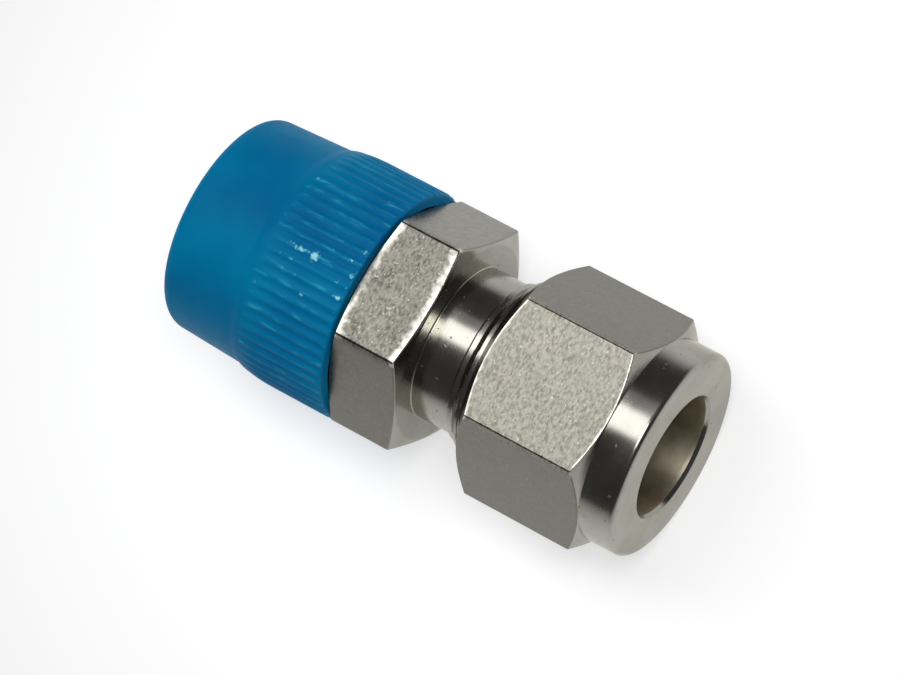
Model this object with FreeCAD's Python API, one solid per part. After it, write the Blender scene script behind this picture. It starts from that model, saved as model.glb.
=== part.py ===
"""Male tube connector for half-inch tube, with its nut, two ferrules and thread protector.

The part lies along X. The origin is the centre of the tube stop inside the body, +X points out
of the nut's mouth, and +Z points up, square to the nut's upper flat. Both threads are plain
envelopes here: the tube-side pair at its pitch line, the pipe thread over its crests.
Lengths are in millimetres and angles in degrees.
"""

import FreeCAD
import Part
import math
import os

# Tube and its bore
TUBE_DIAMETER = 12.7
TUBE_CLEARANCE = 0.07
TUBE_INSERTION = 22.9
FLOW_BORE_DIAMETER = 10.4

# Tube-side thread, three-quarter inch by twenty to the inch
NUT_THREAD_MAJOR = 19.05
NUT_THREAD_PITCH = 1.27
NUT_THREAD_CLEARANCE = 0.1
PITCH_LINE_SHARE = 0.3248

# Pipe thread, half inch by fourteen to the inch, one in sixteen on the diameter
PIPE_THREAD_SMALL_END = 20.716
PIPE_THREAD_TAPER = 1.0 / 16.0
PIPE_THREAD_LENGTH = 18.9
PIPE_THREAD_CHAMFER = 1.4
PIPE_MOUTH_CHAMFER = 0.4

# Connector body
BODY_HEX_FLATS = 22.225
BODY_HEX_FACE = 22.1
BODY_HEX_LENGTH = 7.85
BODY_HEX_ROLL = -5.66
BODY_HEX_CHAMFER_ANGLE = 17.0
STOP_TO_HEX = 2.4
NECK_DIAMETER = 16.6
NECK_LENGTH = 3.7
NECK_BEVEL = 0.4
THREAD_RUNOUT = 1.2
BODY_THREAD_CHAMFER = 0.8
SOCKET_DEPTH = 12.8
SEAT_MOUTH_MARGIN = 0.1
SEAT_HALF_ANGLE = 20.0

# Ferrules
FERRULE_CLEARANCE = 0.05
FRONT_FERRULE_WALL = 1.23
FRONT_FERRULE_LENGTH = 5.0
FRONT_FERRULE_NOSE_WALL = 0.25
FRONT_FERRULE_RECESS = 0.83
FRONT_FERRULE_EDGE = 0.3
BACK_FERRULE_NOSE_WALL = 0.2
BACK_FERRULE_SLEEVE_WALL = 0.68
BACK_FERRULE_FLANGE_GAP = 0.3
BACK_FERRULE_FLANGE_WALL = 1.18
BACK_FERRULE_FLANGE_LENGTH = 1.63
BACK_FERRULE_REAR_ANGLE = 20.0

# Nut
NUT_HEX_FLATS = 22.225
NUT_HEX_FACE = 22.1
NUT_HEX_LENGTH = 14.15
NUT_HEX_CHAMFER_ANGLE = 30.0
NUT_COLLAR_DIAMETER = 22.0
NUT_COLLAR_LENGTH = 3.95
NUT_COLLAR_BEVEL = 0.5
NUT_THREAD_COUNTERSINK = 0.6
NUT_PULL_UP_ROOM = 1.9
NUT_CHAMBER_CLEARANCE = 0.3
TUBE_LEAD_IN_LENGTH = 1.1
TUBE_LEAD_IN_FLARE = 0.3

# Thread protector cap
CAP_HEX_GAP = 0.1
CAP_GRIP_CLEARANCE = 0.1
CAP_FLOOR_GAP = 0.1
CAP_FLOOR = 1.35
CAP_WALL = 1.03
CAP_BARREL_FLARE = 0.33
CAP_SKIRT_LENGTH = 11.05
CAP_SKIRT_RISE = 0.6
CAP_STEP_RISE = 0.35
CAP_STEP_LENGTH = 1.0
CAP_RIB_RAMP_LENGTH = 3.4
CAP_SKIRT_WALL = 1.23
CAP_END_ROUND = 1.5
CAP_END_ROUND_CHORDS = 3
CAP_INNER_BEVEL = 0.7
CAP_INNER_STEP_SETBACK = 0.8
CAP_INNER_STEP_LENGTH = 0.5
CAP_MOUTH_LEAD = 0.15
RIB_COUNT = 63
RIB_PHASE = 2.6
RIB_HEIGHT = 0.22
RIB_WIDTH = 0.85
RIB_CREST_WIDTH = 0.35
RIB_ROOM = 0.05

# Cutting tools reach this far past the faces that they open
OVERCUT = 1.0

# Radii worked out from the sizes above
TUBE_BORE_R = TUBE_DIAMETER / 2 + TUBE_CLEARANCE
FLOW_BORE_R = FLOW_BORE_DIAMETER / 2
NECK_R = NECK_DIAMETER / 2
BODY_THREAD_R = NUT_THREAD_MAJOR / 2 - PITCH_LINE_SHARE * NUT_THREAD_PITCH
NUT_THREAD_R = BODY_THREAD_R + NUT_THREAD_CLEARANCE
SEAT_SLOPE = math.tan(math.radians(SEAT_HALF_ANGLE))
FRONT_FERRULE_R = TUBE_BORE_R + FRONT_FERRULE_WALL
SEAT_MOUTH_R = FRONT_FERRULE_R + SEAT_MOUTH_MARGIN
FRONT_NOSE_R = TUBE_BORE_R + FRONT_FERRULE_NOSE_WALL
BACK_NOSE_R = TUBE_BORE_R + BACK_FERRULE_NOSE_WALL
BACK_SLEEVE_R = TUBE_BORE_R + BACK_FERRULE_SLEEVE_WALL
BACK_FLANGE_R = TUBE_BORE_R + BACK_FERRULE_FLANGE_WALL
NUT_CHAMBER_R = BACK_FLANGE_R + NUT_CHAMBER_CLEARANCE
REAR_SLOPE = math.tan(math.radians(BACK_FERRULE_REAR_ANGLE))

# Stations along X
HEX_FRONT = -STOP_TO_HEX
HEX_REAR = HEX_FRONT - BODY_HEX_LENGTH
PIPE_END = HEX_REAR - PIPE_THREAD_LENGTH
NECK_END = HEX_FRONT + NECK_LENGTH
SEAT_START = SOCKET_DEPTH - (SEAT_MOUTH_R - TUBE_BORE_R) / SEAT_SLOPE
FRONT_NOSE = SEAT_START + (FRONT_NOSE_R + FERRULE_CLEARANCE - TUBE_BORE_R) / SEAT_SLOPE
FRONT_TAPER_END = FRONT_NOSE + (FRONT_FERRULE_R - FRONT_NOSE_R) / SEAT_SLOPE
FRONT_BACK_FACE = FRONT_NOSE + FRONT_FERRULE_LENGTH
RECESS_START = FRONT_BACK_FACE - FRONT_FERRULE_RECESS
BACK_NOSE = RECESS_START + BACK_FERRULE_NOSE_WALL + FERRULE_CLEARANCE
BACK_FLANGE = FRONT_BACK_FACE + BACK_FERRULE_FLANGE_GAP
BACK_FLANGE_END = BACK_FLANGE + BACK_FERRULE_FLANGE_LENGTH
BACK_REAR = BACK_FLANGE_END + (BACK_FLANGE_R - TUBE_BORE_R) * REAR_SLOPE
NUT_SHOULDER = BACK_FLANGE_END - NUT_CHAMBER_CLEARANCE * REAR_SLOPE + FERRULE_CLEARANCE
NUT_MOUTH = TUBE_INSERTION
NUT_COLLAR = NUT_MOUTH - NUT_COLLAR_LENGTH
NUT_REAR = NUT_COLLAR - NUT_HEX_LENGTH
NUT_RELIEF_END = SOCKET_DEPTH + NUT_PULL_UP_ROOM
CAP_MOUTH = HEX_REAR - CAP_HEX_GAP
CAP_INSIDE_FLOOR = PIPE_END - CAP_FLOOR_GAP
CAP_END = CAP_INSIDE_FLOOR - CAP_FLOOR
CAP_STEP_FOOT = CAP_MOUTH - CAP_SKIRT_LENGTH


def pipe_crest_radius(x):
    """Radius over the pipe thread's crests at the station x."""
    return PIPE_THREAD_SMALL_END / 2 + (x - PIPE_END) * PIPE_THREAD_TAPER / 2


CAP_INSIDE_R = pipe_crest_radius(CAP_STEP_FOOT) + CAP_GRIP_CLEARANCE
CAP_END_R = CAP_INSIDE_R + CAP_WALL
CAP_BARREL_R = CAP_END_R + CAP_BARREL_FLARE
CAP_SKIRT_R = CAP_BARREL_R + CAP_SKIRT_RISE
RIB_ROOT_R = CAP_SKIRT_R - RIB_HEIGHT
CAP_SKIRT_INSIDE_R = RIB_ROOT_R - CAP_SKIRT_WALL


def outline_point(corner):
    """The corner (x, radius) as a point of the half section, which stands in the XZ plane."""
    return FreeCAD.Vector(corner[0], 0, corner[1])


def turned(corners):
    """Solid turned about X from a closed outline of corners (x, radius)."""
    points = [outline_point(corner) for corner in corners]
    section = Part.Face(Part.makePolygon(points + points[:1]))
    return section.revolve(FreeCAD.Vector(0, 0, 0), FreeCAD.Vector(1, 0, 0), 360)


def polar(x, radius, angle):
    """Point at a radius and an angle about X, counted from +Y towards +Z, at the station x."""
    turn = math.radians(angle)
    return FreeCAD.Vector(x, radius * math.cos(turn), radius * math.sin(turn))


def hexagon(rear, front, flats, face, chamfer_angle, roll=0.0):
    """Hexagonal section from rear to front, its corners turned off at both ends.

    The chamfers start at the diameter face. One flat looks up and is rolled about X by roll.
    """
    corner_radius = flats / 2 / math.cos(math.radians(30))
    angles = [60.0 + roll + 60.0 * side for side in range(6)]
    corners = [polar(rear, corner_radius, angle) for angle in angles]
    prism = Part.Face(Part.makePolygon(corners + corners[:1]))
    prism = prism.extrude(FreeCAD.Vector(front - rear, 0, 0))
    slope = math.tan(math.radians(chamfer_angle))
    tool_radius = corner_radius + OVERCUT
    tool_face = face / 2 - OVERCUT / slope
    drop = (tool_radius - face / 2) * slope
    tool = turned(
        [
            (rear - OVERCUT, 0),
            (rear - OVERCUT, tool_face),
            (rear + drop, tool_radius),
            (front - drop, tool_radius),
            (front + OVERCUT, tool_face),
            (front + OVERCUT, 0),
        ]
    )
    return prism.common(tool.toNurbs())


def connector_body():
    """Body: pipe thread, hexagon, neck and tube-side thread, bored through with a tube socket."""
    chamfer_end = PIPE_END + PIPE_THREAD_CHAMFER
    pipe_base_r = pipe_crest_radius(HEX_REAR)
    blank = turned(
        [
            (PIPE_END, 0),
            (PIPE_END, pipe_crest_radius(PIPE_END) - PIPE_THREAD_CHAMFER),
            (chamfer_end, pipe_crest_radius(chamfer_end)),
            (HEX_REAR, pipe_base_r),
            (HEX_FRONT, pipe_base_r),
            (HEX_FRONT, NECK_R + NECK_BEVEL),
            (HEX_FRONT + NECK_BEVEL, NECK_R),
            (NECK_END, NECK_R),
            (NECK_END + THREAD_RUNOUT, BODY_THREAD_R),
            (SOCKET_DEPTH - BODY_THREAD_CHAMFER, BODY_THREAD_R),
            (SOCKET_DEPTH, BODY_THREAD_R - BODY_THREAD_CHAMFER),
            (SOCKET_DEPTH, 0),
        ]
    )
    flats = hexagon(
        HEX_REAR, HEX_FRONT, BODY_HEX_FLATS, BODY_HEX_FACE, BODY_HEX_CHAMFER_ANGLE, BODY_HEX_ROLL
    )
    bore = turned(
        [
            (PIPE_END - OVERCUT, 0),
            (PIPE_END - OVERCUT, FLOW_BORE_R + PIPE_MOUTH_CHAMFER + OVERCUT),
            (PIPE_END + PIPE_MOUTH_CHAMFER, FLOW_BORE_R),
            (0, FLOW_BORE_R),
            (0, TUBE_BORE_R),
            (SEAT_START, TUBE_BORE_R),
            (SOCKET_DEPTH + OVERCUT, SEAT_MOUTH_R + OVERCUT * SEAT_SLOPE),
            (SOCKET_DEPTH + OVERCUT, 0),
        ]
    )
    return blank.fuse(flats).cut(bore).removeSplitter()


def front_ferrule():
    """Front ferrule: a nose that wedges into the body's seat, hollowed behind for the back one."""
    return turned(
        [
            (FRONT_NOSE, TUBE_BORE_R),
            (FRONT_NOSE, FRONT_NOSE_R),
            (FRONT_TAPER_END, FRONT_FERRULE_R),
            (FRONT_BACK_FACE - FRONT_FERRULE_EDGE, FRONT_FERRULE_R),
            (FRONT_BACK_FACE, FRONT_FERRULE_R - FRONT_FERRULE_EDGE),
            (FRONT_BACK_FACE, TUBE_BORE_R + FRONT_FERRULE_RECESS),
            (RECESS_START, TUBE_BORE_R),
        ]
    )


def back_ferrule():
    """Back ferrule: a thin nose inside the front ferrule and a flange that the nut pushes on."""
    nose_end = BACK_NOSE + BACK_SLEEVE_R - BACK_NOSE_R
    return turned(
        [
            (BACK_NOSE, TUBE_BORE_R),
            (BACK_NOSE, BACK_NOSE_R),
            (nose_end, BACK_SLEEVE_R),
            (BACK_FLANGE, BACK_SLEEVE_R),
            (BACK_FLANGE, BACK_FLANGE_R),
            (BACK_FLANGE_END, BACK_FLANGE_R),
            (BACK_REAR, TUBE_BORE_R),
        ]
    )


def nut():
    """Nut: hexagon and round collar, threaded from the rear, with the ferrules' chamber inside."""
    inner_end = NUT_COLLAR - OVERCUT
    collar_r = NUT_COLLAR_DIAMETER / 2
    collar = turned(
        [
            (inner_end, 0),
            (inner_end, collar_r),
            (NUT_MOUTH - NUT_COLLAR_BEVEL, collar_r),
            (NUT_MOUTH, collar_r - NUT_COLLAR_BEVEL),
            (NUT_MOUTH, 0),
        ]
    )
    flats = hexagon(NUT_REAR, NUT_COLLAR, NUT_HEX_FLATS, NUT_HEX_FACE, NUT_HEX_CHAMFER_ANGLE)
    shoulder_end = NUT_SHOULDER + (NUT_CHAMBER_R - TUBE_BORE_R) * REAR_SLOPE
    flare_slope = TUBE_LEAD_IN_FLARE / TUBE_LEAD_IN_LENGTH
    bore = turned(
        [
            (NUT_REAR - OVERCUT, 0),
            (NUT_REAR - OVERCUT, NUT_THREAD_R + NUT_THREAD_COUNTERSINK + OVERCUT),
            (NUT_REAR + NUT_THREAD_COUNTERSINK, NUT_THREAD_R),
            (NUT_RELIEF_END, NUT_THREAD_R),
            (NUT_RELIEF_END + NUT_THREAD_R - NUT_CHAMBER_R, NUT_CHAMBER_R),
            (NUT_SHOULDER, NUT_CHAMBER_R),
            (shoulder_end, TUBE_BORE_R),
            (NUT_MOUTH - TUBE_LEAD_IN_LENGTH, TUBE_BORE_R),
            (NUT_MOUTH + OVERCUT, TUBE_BORE_R + TUBE_LEAD_IN_FLARE + OVERCUT * flare_slope),
            (NUT_MOUTH + OVERCUT, 0),
        ]
    )
    return flats.fuse(collar).cut(bore).removeSplitter()


def ribbed_prism(rear, front):
    """Prism whose round section carries the skirt's ribs, each with two flanks and a flat crest."""
    half_root = math.degrees(RIB_WIDTH / 2 / RIB_ROOT_R)
    half_crest = math.degrees(RIB_CREST_WIDTH / 2 / CAP_SKIRT_R)
    corners = []
    for rib in range(RIB_COUNT):
        angle = RIB_PHASE + rib * 360.0 / RIB_COUNT
        corners += [
            polar(rear, RIB_ROOT_R, angle - half_root),
            polar(rear, CAP_SKIRT_R, angle - half_crest),
            polar(rear, CAP_SKIRT_R, angle + half_crest),
            polar(rear, RIB_ROOT_R, angle + half_root),
        ]
    section = Part.Face(Part.makePolygon(corners + corners[:1]))
    return section.extrude(FreeCAD.Vector(front - rear, 0, 0))


def cap_end_round():
    """Corners of the rounding at the cap's closed end, drawn with chords from floor to barrel."""
    corners = []
    for chord in range(CAP_END_ROUND_CHORDS + 1):
        turn = math.radians(90.0 * chord / CAP_END_ROUND_CHORDS)
        setback = CAP_END_ROUND * (1.0 - math.cos(turn))
        drop = CAP_END_ROUND * (1.0 - math.sin(turn))
        corners.append((CAP_END + setback, CAP_END_R - drop))
    return corners


def thread_protector_cap():
    """Moulded cap over the pipe thread: closed end, flared barrel, step and ribbed skirt.

    The ribs rise out of a ramp behind the step, up to their full height.
    """
    skirt_blank_r = CAP_SKIRT_R + RIB_ROOM
    step_end = CAP_STEP_FOOT + CAP_STEP_LENGTH
    blank = turned(
        [
            (CAP_END, 0),
            *cap_end_round(),
            (CAP_STEP_FOOT, CAP_BARREL_R),
            (step_end, CAP_BARREL_R + CAP_STEP_RISE),
            (step_end + CAP_RIB_RAMP_LENGTH, skirt_blank_r),
            (CAP_MOUTH, skirt_blank_r),
            (CAP_MOUTH, 0),
        ]
    )
    inner_step = CAP_STEP_FOOT + CAP_INNER_STEP_SETBACK
    hollow = turned(
        [
            (CAP_INSIDE_FLOOR, 0),
            (CAP_INSIDE_FLOOR, CAP_INSIDE_R - CAP_INNER_BEVEL),
            (CAP_INSIDE_FLOOR + CAP_INNER_BEVEL, CAP_INSIDE_R),
            (inner_step, CAP_INSIDE_R),
            (inner_step + CAP_INNER_STEP_LENGTH, CAP_SKIRT_INSIDE_R),
            (CAP_MOUTH - CAP_MOUTH_LEAD, CAP_SKIRT_INSIDE_R),
            (CAP_MOUTH + OVERCUT, CAP_SKIRT_INSIDE_R + CAP_MOUTH_LEAD + OVERCUT),
            (CAP_MOUTH + OVERCUT, 0),
        ]
    )
    ribs = ribbed_prism(CAP_END - OVERCUT, CAP_MOUTH + OVERCUT)
    return blank.common(ribs).cut(hollow).removeSplitter()


PIECES = {
    "connector_body": connector_body,
    "front_ferrule": front_ferrule,
    "back_ferrule": back_ferrule,
    "nut": nut,
    "thread_protector_cap": thread_protector_cap,
}


def main():
    """Build each piece and write it to a file of its own."""
    os.makedirs("parts", exist_ok=True)
    for name, build in PIECES.items():
        solid = build()
        if solid.ShapeType == "Compound" and len(solid.Solids) == 1:
            solid = solid.Solids[0]
        solid.exportStep(f"parts/{name}.step")
        print(f"{name}: valid {solid.isValid()}, {len(solid.Faces)} faces, {solid.Volume:.1f} mm3")


main()
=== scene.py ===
"""Looks of a male tube connector: turned steel pieces and a moulded thread protector.

The fitting lies along X. The origin is the tube stop inside the body, +X points out of the nut's
mouth and +Z is square to the nut's upper flat. Sizes in the classes are in millimetres; meshes
are in metres, like the frame.
"""

from __future__ import annotations

import logging
import math
from dataclasses import dataclass, field
from enum import Enum
from typing import Callable

import bpy
import numpy as np
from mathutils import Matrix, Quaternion, Vector

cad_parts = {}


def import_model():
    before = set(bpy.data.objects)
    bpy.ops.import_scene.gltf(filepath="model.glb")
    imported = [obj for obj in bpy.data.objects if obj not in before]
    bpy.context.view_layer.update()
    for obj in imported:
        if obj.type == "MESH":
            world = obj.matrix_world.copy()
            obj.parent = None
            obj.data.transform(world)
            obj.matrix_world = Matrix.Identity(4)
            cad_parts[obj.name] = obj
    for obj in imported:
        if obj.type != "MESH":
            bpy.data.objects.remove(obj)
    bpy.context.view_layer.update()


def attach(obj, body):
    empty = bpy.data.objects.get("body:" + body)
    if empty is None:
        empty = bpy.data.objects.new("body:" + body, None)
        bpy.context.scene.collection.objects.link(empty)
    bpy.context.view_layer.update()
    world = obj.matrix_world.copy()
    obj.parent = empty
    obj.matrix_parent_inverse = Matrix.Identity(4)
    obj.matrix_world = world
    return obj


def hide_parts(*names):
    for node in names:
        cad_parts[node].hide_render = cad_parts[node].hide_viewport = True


LOG = logging.getLogger("tube_connector")
Point = tuple[float, float]
Colour = tuple[float, float, float]

MM = 0.001
TURN_STEPS = 144
MERGE_REACH = 2e-7
SMOOTH_ANGLE = math.radians(12.5)
NOISE_SPAN: Point = (0.35, 0.65)


class Slot(Enum):
    """Material slots of the record."""

    STEEL = "stainless_steel"
    PLASTIC = "blue_polyethylene"


def select_alone(piece: bpy.types.Object) -> None:
    """Selects one piece alone and makes it the active one.

    Args:
        piece: the piece to work on.
    """
    bpy.ops.object.select_all(action="DESELECT")
    piece.select_set(True)
    bpy.context.view_layer.objects.active = piece


def open_edit(piece: bpy.types.Object) -> None:
    """Opens one piece in edit mode with everything in it selected.

    Args:
        piece: the piece to work on.
    """
    select_alone(piece)
    bpy.ops.object.mode_set(mode="EDIT")
    bpy.ops.mesh.select_all(action="SELECT")


def close_edit() -> None:
    """Goes back to object mode."""
    bpy.ops.object.mode_set(mode="OBJECT")


def read_spots(mesh: bpy.types.Mesh) -> np.ndarray:
    """Reads where the vertices of a mesh are.

    Args:
        mesh: the mesh.

    Returns:
        One row for each vertex, in millimetres.
    """
    spots = np.zeros(len(mesh.vertices) * 3)
    mesh.vertices.foreach_get("co", spots)
    return spots.reshape(-1, 3) / MM


def write_spots(mesh: bpy.types.Mesh, spots: np.ndarray) -> None:
    """Puts the vertices of a mesh at new places, given in millimetres."""
    mesh.vertices.foreach_set("co", (spots * MM).ravel())


def arc(centre: Point, radius: float, start: float, end: float, steps: int) -> list[Point]:
    """Points of an arc in the half section.

    Args:
        centre: station and radius of the arc's centre.
        radius: the arc's own radius.
        start: first angle in degrees, counted from +X towards larger radii.
        end: last angle in degrees.
        steps: how many chords the arc is drawn with.

    Returns:
        The arc's points in order, both ends included.
    """
    angles = [math.radians(start + (end - start) * step / steps) for step in range(steps + 1)]
    return [(centre[0] + radius * math.cos(a), centre[1] + radius * math.sin(a)) for a in angles]


@dataclass(frozen=True)
class Hexagon:
    """A hexagonal section about X whose corners are turned off at both ends.

    Attributes:
        rear: station of the rear face.
        front: station of the front face.
        rear_radius: where the rear chamfer starts on its face.
        front_radius: where the front chamfer starts on its face.
        corner_drop: how far behind the face a chamfer meets the corners.
        roll: turn of the upper flat about X, in degrees.
        across: distance between opposite flats.
        blank_radius: radius of the round blank that the flats are milled on.
    """

    rear: float
    front: float
    rear_radius: float
    front_radius: float
    corner_drop: float
    roll: float = 0.0
    across: float = 22.225
    blank_radius: float = 13.3

    def slope(self, face_radius: float) -> float:
        """Fall of a chamfer behind its face for each millimetre of radius."""
        corner_radius = self.across / 2 / math.cos(math.radians(30.0))
        return self.corner_drop / (corner_radius - face_radius)

    def outline(self) -> list[Point]:
        """Works out the outline of the round blank.

        Returns:
            Its points, from the rear face to the front face.
        """
        rear_drop = (self.blank_radius - self.rear_radius) * self.slope(self.rear_radius)
        front_drop = (self.blank_radius - self.front_radius) * self.slope(self.front_radius)
        return [
            (self.rear, self.rear_radius),
            (self.rear + rear_drop, self.blank_radius),
            (self.front - front_drop, self.blank_radius),
            (self.front, self.front_radius),
        ]

    def facing(self, side: int = 0) -> Vector:
        """The outward direction of one flat, counted from the upper one."""
        angle = math.radians(90.0 + self.roll + 60.0 * side)
        return Vector((0.0, math.cos(angle), math.sin(angle)))

    def has_flat(self, face: bpy.types.MeshPolygon) -> bool:
        """Whether a face of the mesh lies on one of the flats."""
        level = face.center.dot(face.normal) / MM
        return abs(face.normal.x) < 0.01 and abs(level - self.across / 2) < 0.01


class Lathe:
    """Turns outlines about X, mills flats on the blank, breaks its edges and winds threads."""

    def __init__(self, steps: int = TURN_STEPS) -> None:
        """Sets how many facets go round each turned surface."""
        self.steps = steps

    def lone_vertex(self, name: str) -> bpy.types.Object:
        """Starts a piece in edit mode that holds one selected vertex at the origin.

        Args:
            name: name of the piece and of its mesh.

        Returns:
            The new piece.
        """
        bpy.ops.object.select_all(action="DESELECT")
        bpy.ops.mesh.primitive_plane_add(size=MM, location=(0.0, 0.0, 0.0))
        piece = bpy.context.object
        piece.name = name
        piece.data.name = name
        bpy.ops.object.mode_set(mode="EDIT")
        bpy.ops.mesh.select_all(action="SELECT")
        bpy.ops.mesh.merge(type="CENTER")
        return piece

    def trace(self, outline: list[Point]) -> None:
        """Draws an outline from the selected vertex, extruding it from point to point.

        Args:
            outline: stations and radii in millimetres.
        """
        here = Vector((outline[0][0], 0.0, outline[0][1])) * MM
        bpy.ops.transform.translate(value=here)
        for station, radius in outline[1:]:
            there = Vector((station, 0.0, radius)) * MM
            bpy.ops.mesh.extrude_vertices_move(TRANSFORM_OT_translate={"value": there - here})
            here = there

    def turn(self, name: str, outlines: list[list[Point]]) -> bpy.types.Object:
        """Spins outlines a full turn about X.

        Args:
            name: name of the new piece.
            outlines: one list of points for each shell.

        Returns:
            The turned piece, in object mode.
        """
        piece = self.lone_vertex(name)
        for index, outline in enumerate(outlines):
            if index:
                bpy.ops.mesh.select_all(action="DESELECT")
                bpy.ops.mesh.primitive_plane_add(size=MM, location=(0.0, 0.0, 0.0))
                bpy.ops.mesh.merge(type="CENTER")
            self.trace(outline)
        bpy.ops.mesh.select_all(action="SELECT")
        bpy.ops.mesh.spin(
            steps=self.steps, angle=math.tau, center=(0.0, 0.0, 0.0), axis=(1.0, 0.0, 0.0)
        )
        bpy.ops.mesh.select_all(action="SELECT")
        bpy.ops.mesh.remove_doubles(threshold=MERGE_REACH)
        close_edit()
        return piece

    def mill_flats(self, piece: bpy.types.Object, section: Hexagon) -> None:
        """Cuts the six flats of a hexagonal section.

        Args:
            piece: the turned blank.
            section: the hexagonal section.
        """
        open_edit(piece)
        for side in range(6):
            facing = section.facing(side)
            bpy.ops.mesh.select_all(action="SELECT")
            bpy.ops.mesh.bisect(
                plane_co=facing * section.across / 2 * MM,
                plane_no=facing,
                use_fill=True,
                clear_outer=True,
                threshold=MERGE_REACH,
            )
        close_edit()

    def round_flats(self, piece: bpy.types.Object, section: Hexagon, width: float) -> None:
        """Rounds the corners between the flats and the flats' front edges.

        Args:
            piece: the blank with its flats milled.
            section: the hexagonal section.
            width: how far the rounding reaches into each face.
        """
        open_edit(piece)
        bpy.ops.mesh.select_mode(type="EDGE")
        bpy.ops.mesh.select_all(action="DESELECT")
        close_edit()
        sides: dict[tuple[int, int], list[bpy.types.MeshPolygon]] = {}
        for face in piece.data.polygons:
            for key in face.edge_keys:
                sides.setdefault(key, []).append(face)
        middle = (section.rear + section.front) / 2 * MM
        spots = piece.data.vertices
        for edge in piece.data.edges:
            faces = sides[edge.key]
            edge.select = (
                len(faces) == 2
                and any(section.has_flat(face) for face in faces)
                and faces[0].normal.angle(faces[1].normal) > SMOOTH_ANGLE
                and max(spots[index].co.x for index in edge.vertices) > middle
            )
        bpy.ops.object.mode_set(mode="EDIT")
        bpy.ops.mesh.bevel(offset=width * MM, segments=8, affect="EDGES", clamp_overlap=False)
        bpy.ops.mesh.select_mode(type="VERT")
        close_edit()

    def join(self, pieces: list[bpy.types.Object]) -> bpy.types.Object:
        """Welds shells that share their end rings into one closed skin.

        Args:
            pieces: the shells.

        Returns:
            The first of them, which now holds them all, with its faces pointing outwards.
        """
        bpy.ops.object.select_all(action="DESELECT")
        for piece in pieces:
            piece.select_set(True)
        bpy.context.view_layer.objects.active = pieces[0]
        bpy.ops.object.join()
        open_edit(pieces[0])
        bpy.ops.mesh.remove_doubles(threshold=MERGE_REACH * 5)
        bpy.ops.mesh.select_all(action="SELECT")
        bpy.ops.mesh.dissolve_degenerate(threshold=MERGE_REACH)
        bpy.ops.mesh.select_all(action="SELECT")
        bpy.ops.mesh.normals_make_consistent(inside=False)
        close_edit()
        return pieces[0]

    def finish(self, piece: bpy.types.Object) -> None:
        """Shades a piece smooth, apart from its sharp edges, and keeps large faces flat.

        Args:
            piece: the finished mesh.
        """
        select_alone(piece)
        bpy.ops.object.shade_smooth_by_angle(angle=SMOOTH_ANGLE)
        bpy.ops.object.modifier_add(type="WEIGHTED_NORMAL")
        weighted = piece.modifiers[-1]
        weighted.weight = 100
        weighted.keep_sharp = True
        bpy.ops.object.modifier_apply(modifier=weighted.name)


@dataclass(frozen=True)
class Thread:
    """A vee thread wound about X, right-handed.

    Attributes:
        pitch: advance in one turn.
        crest: radius over the crests at the datum station.
        root: radius at the roots at the datum station.
        crest_flat: width of the flat on a crest.
        datum: station where a root begins, straight above the axis.
        taper: growth of the radius for each millimetre along X.
        flank_rows: mesh rows down each flank.
    """

    pitch: float
    crest: float
    root: float
    crest_flat: float
    datum: float = 0.0
    taper: float = 0.0
    flank_rows: int = 6

    def outline(self, start: float) -> list[Point]:
        """Works out the outline of one pitch.

        Args:
            start: station where a root begins.

        Returns:
            Its points, from the start of that root to the start of the next.
        """
        flank = abs(self.crest - self.root) * math.tan(math.radians(30.0))
        root_flat = self.pitch - 2 * flank - self.crest_flat
        rows = [(start, self.root)]
        for step in range(self.flank_rows + 1):
            share = step / self.flank_rows
            station = start + root_flat + flank * share
            rows.append((station, self.root + (self.crest - self.root) * share))
        for step in range(self.flank_rows + 1):
            share = step / self.flank_rows
            station = start + root_flat + flank + self.crest_flat + flank * share
            rows.append((station, self.crest + (self.root - self.crest) * share))
        return rows

    def wind(
        self,
        name: str,
        lathe: Lathe,
        first: float,
        last: float,
        limits: Callable[[np.ndarray], tuple[np.ndarray, np.ndarray]],
    ) -> bpy.types.Object:
        """Winds the thread between two stations, ending in a plain ring at each.

        Args:
            name: name of the band.
            lathe: gives the number of facets.
            first: station of the lower ring.
            last: station of the upper ring.
            limits: gives the least and the greatest radius at each station.

        Returns:
            The open band of threaded surface.
        """
        skipped = math.floor((first - self.datum) / self.pitch) - 1
        start = self.datum + skipped * self.pitch
        band = lathe.lone_vertex(name)
        lathe.trace(self.outline(start))
        close_edit()
        bpy.ops.object.modifier_add(type="SCREW")
        screw = band.modifiers[-1]
        screw.axis = "X"
        screw.angle = math.tau
        screw.screw_offset = self.pitch * MM
        screw.iterations = math.ceil((last - start) / self.pitch) + 1
        screw.steps = lathe.steps
        screw.render_steps = lathe.steps
        bpy.ops.object.modifier_apply(modifier=screw.name)
        spots = read_spots(band.data)
        radius = np.hypot(spots[:, 1], spots[:, 2])
        station = np.clip(spots[:, 0], first, last)
        low, high = limits(station)
        wanted = np.clip(radius + self.taper * (station - self.datum), low, high)
        spots[:, 0] = station
        spots[:, 1:] *= (wanted / radius)[:, None]
        write_spots(band.data, spots)
        open_edit(band)
        bpy.ops.mesh.remove_doubles(threshold=MERGE_REACH)
        close_edit()
        return band


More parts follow.
